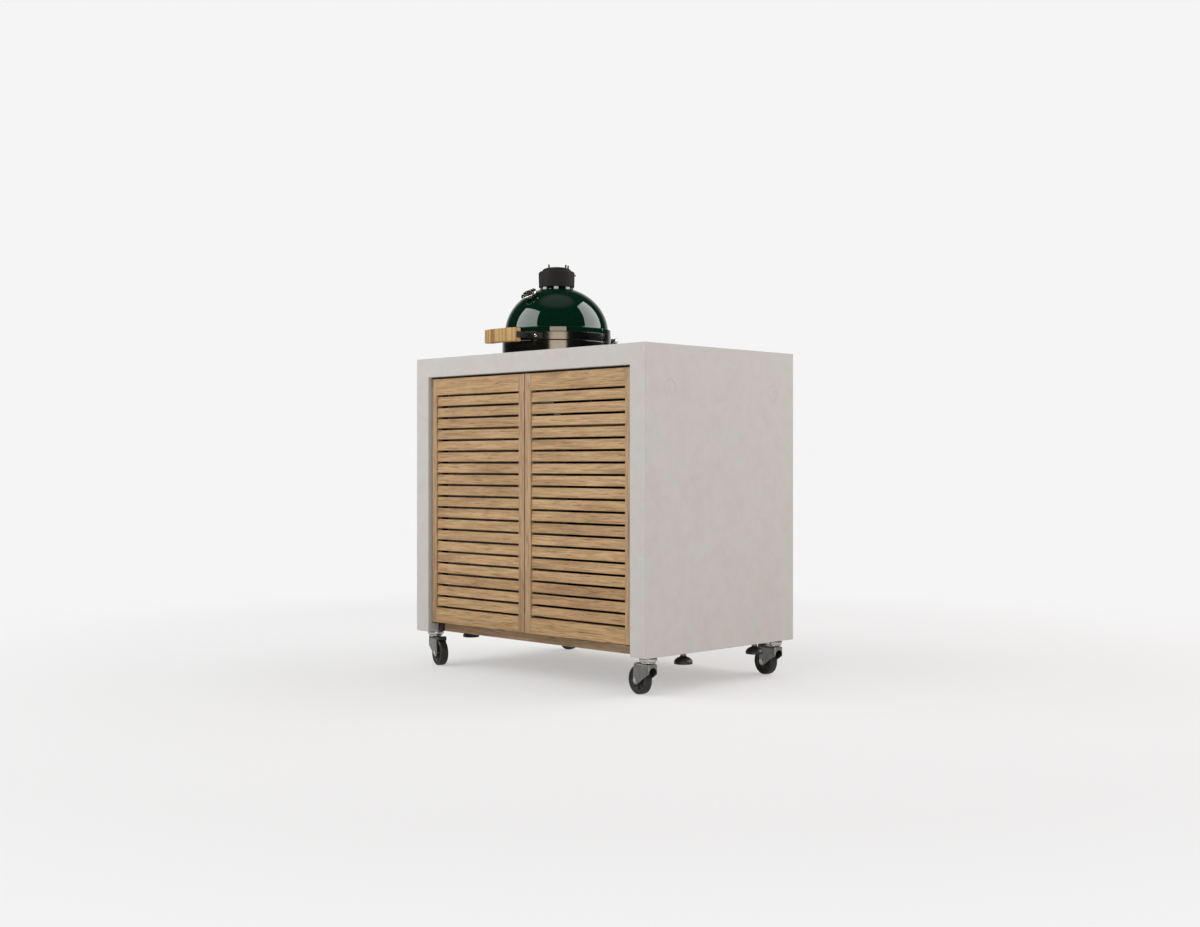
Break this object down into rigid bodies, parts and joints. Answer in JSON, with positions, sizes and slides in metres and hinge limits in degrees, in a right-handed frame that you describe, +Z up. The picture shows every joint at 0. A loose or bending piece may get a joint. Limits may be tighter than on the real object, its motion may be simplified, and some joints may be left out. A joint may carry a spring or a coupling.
{
  "type": "kamado grill table",
  "caption": "Concrete waterfall cabinet on casters with louvred wooden doors and a glazed ceramic kamado grill set into its worktop.",
  "frame": {"origin": "on the floor, at the centre of the cabinet's footprint", "axes": "+Z up, +X to the right seen from the front, the doors face -Y"},
  "size_m": [0.928, 0.605, 1.18],
  "materials": {
    "concrete": "cast, sealed, matt",
    "oak": "oiled hardwood, matt",
    "bamboo": "laminated bamboo, lacquered",
    "dark_steel": "dark brown-black powder coat, satin",
    "zinc": "bright zinc plate, satin",
    "black_rubber": "moulded, matt",
    "black_plastic": "moulded nylon, satin",
    "green_glaze": "deep green glaze, gloss",
    "black_steel": "black powder coat, satin",
    "cast_iron": "dark paint, matt",
    "stainless": "brushed",
    "fire_clay": "raw fire clay, matt",
    "felt": "pressed felt, matt",
    "panel_grey": "dark painted board, matt"
  },
  "bodies": {
    "cabinet": {"countertop": "concrete", "side_panel_left": "concrete", "side_panel_right": "concrete", "back_panel": "panel_grey", "frame_left": "dark_steel", "frame_right": "dark_steel", "cradle_rail_front": "dark_steel", "cradle_rail_rear": "dark_steel", "top_rail_front": "dark_steel", "top_rail_rear": "dark_steel", "bottom_shelf": "oak", "kamado_shelf": "oak", "front_left_caster_head": "zinc", "front_right_caster_head": "zinc", "rear_left_caster_head": "zinc", "rear_right_caster_head": "zinc", "kamado_bowl": "green_glaze", "bowl_band": "black_steel", "hinge_bowl_bracket": "black_steel", "fire_box": "fire_clay", "fire_ring": "fire_clay", "charcoal_grate": "cast_iron", "cooking_grid": "stainless", "draft_frame": "stainless", "kamado_nest": "black_steel"},
    "left_door": {"left_door_hinge_stile": "oak", "left_door_louvres": "oak", "left_door_top_rail": "oak", "left_door_bottom_rail": "oak", "left_door_pivot_pin": "zinc"},
    "right_door": {"right_door_hinge_stile": "oak", "right_door_louvres": "oak", "right_door_top_rail": "oak", "right_door_bottom_rail": "oak", "right_door_pivot_pin": "zinc"},
    "front_left_fork": {"front_left_caster_fork": "zinc"},
    "front_left_wheel": {"front_left_caster_wheel": "black_rubber"},
    "front_left_pedal": {"front_left_caster_brake_pedal": "black_plastic"},
    "front_right_fork": {"front_right_caster_fork": "zinc"},
    "front_right_wheel": {"front_right_caster_wheel": "black_rubber"},
    "rear_left_fork": {"rear_left_caster_fork": "zinc"},
    "rear_left_wheel": {"rear_left_caster_wheel": "black_rubber"},
    "rear_right_fork": {"rear_right_caster_fork": "zinc"},
    "rear_right_wheel": {"rear_right_caster_wheel": "black_rubber"},
    "rear_right_pedal": {"rear_right_caster_brake_pedal": "black_plastic"},
    "front_left_foot": {"front_left_foot": "black_plastic"},
    "front_right_foot": {"front_right_foot": "black_plastic"},
    "rear_left_foot": {"rear_left_foot": "black_plastic"},
    "rear_right_foot": {"rear_right_foot": "black_plastic"},
    "lid": {"lid_dome": "green_glaze", "lid_band": "black_steel", "lid_gasket": "felt", "thermometer": "stainless", "vent_cap": "cast_iron", "handle_grip": "bamboo", "handle_bracket": "black_steel", "hinge_lid_bracket": "black_steel"},
    "vent_rotor": {"vent_rotor": "cast_iron"},
    "draft_door": {"draft_door": "stainless"}
  },
  "joints": [
    {"name": "left_door_hinge", "type": "hinge", "parent": "cabinet", "child": "left_door", "pos_m": [-0.394, -0.2815, 0.484], "axis": [0, 0, 1], "range_deg": [-95, 0]},
    {"name": "right_door_hinge", "type": "hinge", "parent": "cabinet", "child": "right_door", "pos_m": [0.394, -0.2815, 0.484], "axis": [0, 0, 1], "range_deg": [0, 95]},
    {"name": "front_left_swivel", "type": "hinge", "parent": "cabinet", "child": "front_left_fork", "pos_m": [-0.431, -0.257, 0.09], "axis": [0, 0, 1], "continuous": true},
    {"name": "front_left_roll", "type": "hinge", "parent": "front_left_fork", "child": "front_left_wheel", "pos_m": [-0.39849, -0.26694, 0.0375], "axis": [0.2924, 0.9563, 0], "continuous": true},
    {"name": "front_left_brake", "type": "hinge", "parent": "front_left_fork", "child": "front_left_pedal", "pos_m": [-0.39466, -0.26811, 0.0792], "axis": [0.2924, 0.9563, 0], "range_deg": [0, 8]},
    {"name": "front_right_swivel", "type": "hinge", "parent": "cabinet", "child": "front_right_fork", "pos_m": [0.431, -0.257, 0.09], "axis": [0, 0, 1], "continuous": true},
    {"name": "front_right_roll", "type": "hinge", "parent": "front_right_fork", "child": "front_right_wheel", "pos_m": [0.39752, -0.2511, 0.0375], "axis": [-0.1736, -0.9848, 0], "continuous": true},
    {"name": "rear_left_swivel", "type": "hinge", "parent": "cabinet", "child": "rear_left_fork", "pos_m": [-0.431, 0.257, 0.09], "axis": [0, 0, 1], "continuous": true},
    {"name": "rear_left_roll", "type": "hinge", "parent": "rear_left_fork", "child": "rear_left_wheel", "pos_m": [-0.397, 0.257, 0.0375], "axis": [0, 1, 0], "continuous": true},
    {"name": "rear_right_swivel", "type": "hinge", "parent": "cabinet", "child": "rear_right_fork", "pos_m": [0.431, 0.257, 0.09], "axis": [0, 0, 1], "continuous": true},
    {"name": "rear_right_roll", "type": "hinge", "parent": "rear_right_fork", "child": "rear_right_wheel", "pos_m": [0.39752, 0.2629, 0.0375], "axis": [-0.1736, -0.9848, 0], "continuous": true},
    {"name": "rear_right_brake", "type": "hinge", "parent": "rear_right_fork", "child": "rear_right_pedal", "pos_m": [0.39358, 0.2636, 0.0792], "axis": [-0.1736, -0.9848, 0], "range_deg": [0, 8]},
    {"name": "front_left_level", "type": "slide", "parent": "cabinet", "child": "front_left_foot", "axis": [0, 0, 1], "range_m": [-0.068, 0.006]},
    {"name": "front_right_level", "type": "slide", "parent": "cabinet", "child": "front_right_foot", "axis": [0, 0, 1], "range_m": [-0.068, 0.006]},
    {"name": "rear_left_level", "type": "slide", "parent": "cabinet", "child": "rear_left_foot", "axis": [0, 0, 1], "range_m": [-0.068, 0.006]},
    {"name": "rear_right_level", "type": "slide", "parent": "cabinet", "child": "rear_right_foot", "axis": [0, 0, 1], "range_m": [-0.068, 0.006]},
    {"name": "lid_hinge", "type": "hinge", "parent": "cabinet", "child": "lid", "pos_m": [-0.182, 0.188, 0.962], "axis": [-1, 0, 0], "range_deg": [0, 78]},
    {"name": "vent_turn", "type": "hinge", "parent": "lid", "child": "vent_rotor", "pos_m": [-0.182, 0, 1.165], "axis": [0, 0, 1], "range_deg": [0, 60]},
    {"name": "draft_slide", "type": "slide", "parent": "cabinet", "child": "draft_door", "axis": [1, 0, 0], "range_m": [0, 0.08]}
  ]
}
